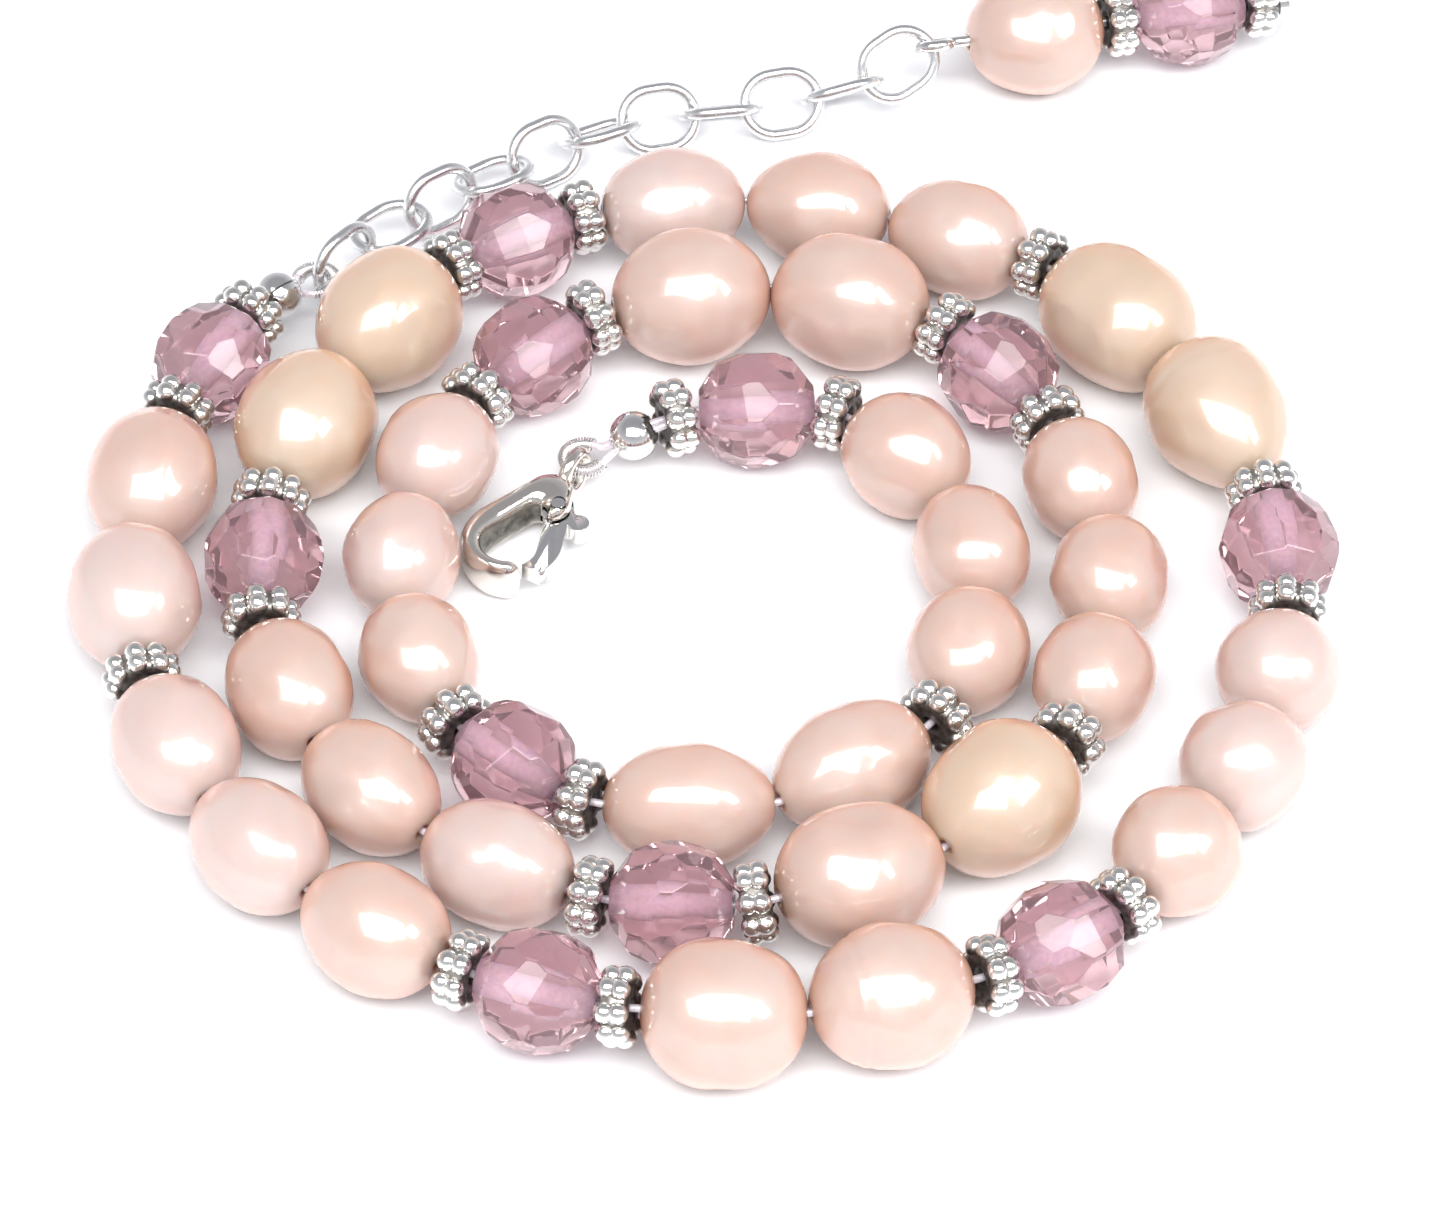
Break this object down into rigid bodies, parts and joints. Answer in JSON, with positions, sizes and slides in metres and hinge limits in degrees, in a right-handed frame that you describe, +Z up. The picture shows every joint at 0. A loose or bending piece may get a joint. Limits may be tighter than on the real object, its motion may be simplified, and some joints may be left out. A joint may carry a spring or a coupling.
{
  "type": "pearl necklace",
  "caption": "Necklace of oval pearls, faceted glass and daisy spacers on a wire, lying coiled, with a lobster clasp and an extender chain that ends in a beaded drop.",
  "frame": {"origin": "middle of the bounding box at the table the necklace lies on", "axes": "+Z up off the table, +Y away from the viewer, where the extender chain lies, +X to the viewer's right"},
  "size_m": [0.0624, 0.0762, 0.0072],
  "materials": {
    "pearl": "lustrous nacre, cream to peach",
    "amethyst_glass": "fire polished, faceted",
    "antiqued_silver": "bright grains, dark recesses",
    "bright_silver": "polished",
    "chain_silver": "polished wire",
    "beading_wire": "stranded, coated",
    "wire_guard": "fine coil"
  },
  "bodies": {
    "coil": {"crystal_01": "amethyst_glass", "pearls_triplet_1": "pearl", "pearls_pair_1": "pearl", "crystal_02": "amethyst_glass", "pearls_triplet_2": "pearl", "crystal_03": "amethyst_glass", "pearls_pair_2": "pearl", "crystal_04": "amethyst_glass", "pearls_triplet_3": "pearl", "pearls_pair_3": "pearl", "crystal_05": "amethyst_glass", "pearls_triplet_4": "pearl", "crystal_06": "amethyst_glass", "pearls_pair_4": "pearl", "daisies_repeat_1": "antiqued_silver", "daisies_repeat_2": "antiqued_silver", "crimp_tube_inner": "bright_silver", "crimp_cover_inner": "bright_silver", "loop_sleeve_inner": "wire_guard", "beading_wire": "beading_wire"},
    "clasp": {"clasp_body": "bright_silver", "clasp_rivet": "bright_silver", "clasp_spring": "bright_silver"},
    "lever": {"clasp_lever": "bright_silver"},
    "strand_01": {"crystal_07": "amethyst_glass", "daisies_07": "antiqued_silver", "pearls_triplet_5": "pearl"},
    "strand_02": {"spacer_daisy_3": "antiqued_silver", "pearls_pair_5": "pearl", "crystal_08": "amethyst_glass", "daisies_08": "antiqued_silver"},
    "strand_03": {"pearls_triplet_6": "pearl", "crystal_09": "amethyst_glass", "daisies_09": "antiqued_silver"},
    "strand_04": {"pearls_pair_6": "pearl", "crystal_10": "amethyst_glass", "daisies_10": "antiqued_silver"},
    "strand_05": {"pearls_triplet_7": "pearl", "spacer_daisy_4": "antiqued_silver", "pearls_pair_7": "pearl"},
    "strand_06": {"crystal_11": "amethyst_glass", "daisies_11": "antiqued_silver", "crimp_tube_outer": "bright_silver", "crimp_cover_outer": "bright_silver", "loop_sleeve_outer": "wire_guard"},
    "link_01": {"chain_link_01": "chain_silver"},
    "link_02": {"chain_link_02": "chain_silver"},
    "link_03": {"chain_link_03": "chain_silver"},
    "link_04": {"chain_link_04": "chain_silver"},
    "link_05": {"chain_link_05": "chain_silver"},
    "link_06": {"chain_link_06": "chain_silver"},
    "link_07": {"chain_link_07": "chain_silver"},
    "link_08": {"chain_link_08": "chain_silver"},
    "link_09": {"chain_link_09": "chain_silver"},
    "link_10": {"chain_link_10": "chain_silver"},
    "link_11": {"chain_link_11": "chain_silver"},
    "dangle": {"dangle_head_pin": "bright_silver", "dangle_pearl": "pearl", "dangle_crystal": "amethyst_glass", "dangle_daisies": "antiqued_silver"}
  },
  "joints": [
    {"name": "lever_open", "type": "hinge", "parent": "clasp", "child": "lever", "pos_m": [-0.00734, -0.00107, 0.00142], "axis": [0, 0, -1], "range_deg": [0, 18], "stiffness_Nm_per_rad": 0.0001},
    {"name": "clasp_swing", "type": "hinge", "parent": "coil", "child": "clasp", "pos_m": [-0.00604, 0.00309, 0.00155], "axis": [0, 0, 1], "range_deg": [0, 75]},
    {"name": "uncoil_01", "type": "hinge", "parent": "coil", "child": "strand_01", "pos_m": [-0.01373, 0.01426, 0.0035], "axis": [0, 0, 1], "range_deg": [0, 20], "deforming": ["beading_wire"]},
    {"name": "uncoil_02", "type": "hinge", "parent": "strand_01", "child": "strand_02", "pos_m": [0.01642, 0.01561, 0.00328], "axis": [0, 0, 1], "range_deg": [0, 20]},
    {"name": "uncoil_03", "type": "hinge", "parent": "strand_02", "child": "strand_03", "pos_m": [0.02842, -0.00971, 0.0031], "axis": [0, 0, 1], "range_deg": [0, 20]},
    {"name": "uncoil_04", "type": "hinge", "parent": "strand_03", "child": "strand_04", "pos_m": [0.01252, -0.03273, 0.0035], "axis": [0, 0, 1], "range_deg": [0, 20]},
    {"name": "uncoil_05", "type": "hinge", "parent": "strand_04", "child": "strand_05", "pos_m": [-0.01219, -0.03135, 0.0031], "axis": [0, 0, 1], "range_deg": [0, 20]},
    {"name": "uncoil_06", "type": "hinge", "parent": "strand_05", "child": "strand_06", "pos_m": [-0.02687, 0.00382, 0.0033], "axis": [0, 0, 1], "range_deg": [0, 20]},
    {"name": "link_01_swing", "type": "hinge", "parent": "strand_06", "child": "link_01", "pos_m": [-0.01973, 0.01558, 0.0021], "axis": [0, 0, 1], "range_deg": [0, 18]},
    {"name": "link_02_swing", "type": "hinge", "parent": "link_01", "child": "link_02", "pos_m": [-0.01761, 0.01811, 0.002], "axis": [0, 0, 1], "range_deg": [0, 18]},
    {"name": "link_03_swing", "type": "hinge", "parent": "link_02", "child": "link_03", "pos_m": [-0.01516, 0.02032, 0.0021], "axis": [0, 0, 1], "range_deg": [0, 18]},
    {"name": "link_04_swing", "type": "hinge", "parent": "link_03", "child": "link_04", "pos_m": [-0.01252, 0.0223, 0.002], "axis": [0, 0, 1], "range_deg": [0, 18]},
    {"name": "link_05_swing", "type": "hinge", "parent": "link_04", "child": "link_05", "pos_m": [-0.00982, 0.0242, 0.0019], "axis": [0, 0, 1], "range_deg": [-4, 18]},
    {"name": "link_06_swing", "type": "hinge", "parent": "link_05", "child": "link_06", "pos_m": [-0.00709, 0.02604, 0.0018], "axis": [0, 0, 1], "range_deg": [-4, 18]},
    {"name": "link_07_swing", "type": "hinge", "parent": "link_06", "child": "link_07", "pos_m": [-0.00412, 0.02748, 0.00175], "axis": [0, 0, 1], "range_deg": [-4, 18]},
    {"name": "link_08_swing", "type": "hinge", "parent": "link_07", "child": "link_08", "pos_m": [-0.00092, 0.02828, 0.00165], "axis": [0, 0, 1], "range_deg": [-4, 18]},
    {"name": "link_09_swing", "type": "hinge", "parent": "link_08", "child": "link_09", "pos_m": [0.00235, 0.02874, 0.00165], "axis": [0, 0, 1], "range_deg": [-4, 18]},
    {"name": "link_10_swing", "type": "hinge", "parent": "link_09", "child": "link_10", "pos_m": [0.00558, 0.02943, 0.00175], "axis": [0, 0, 1], "range_deg": [-4, 18]},
    {"name": "link_11_swing", "type": "hinge", "parent": "link_10", "child": "link_11", "pos_m": [0.00876, 0.0301, 0.0023], "axis": [0, 0, 1], "range_deg": [-4, 18]},
    {"name": "dangle_swing", "type": "hinge", "parent": "link_11", "child": "dangle", "pos_m": [0.01148, 0.03143, 0.0036], "axis": [0, 0, 1], "range_deg": [-10, 30]}
  ],
  "couplings": [
    {"joint": "uncoil_02", "follows": "uncoil_01", "ratio": 1},
    {"joint": "uncoil_03", "follows": "uncoil_01", "ratio": 1},
    {"joint": "uncoil_04", "follows": "uncoil_01", "ratio": 1},
    {"joint": "uncoil_05", "follows": "uncoil_01", "ratio": 1},
    {"joint": "uncoil_06", "follows": "uncoil_01", "ratio": 1}
  ]
}
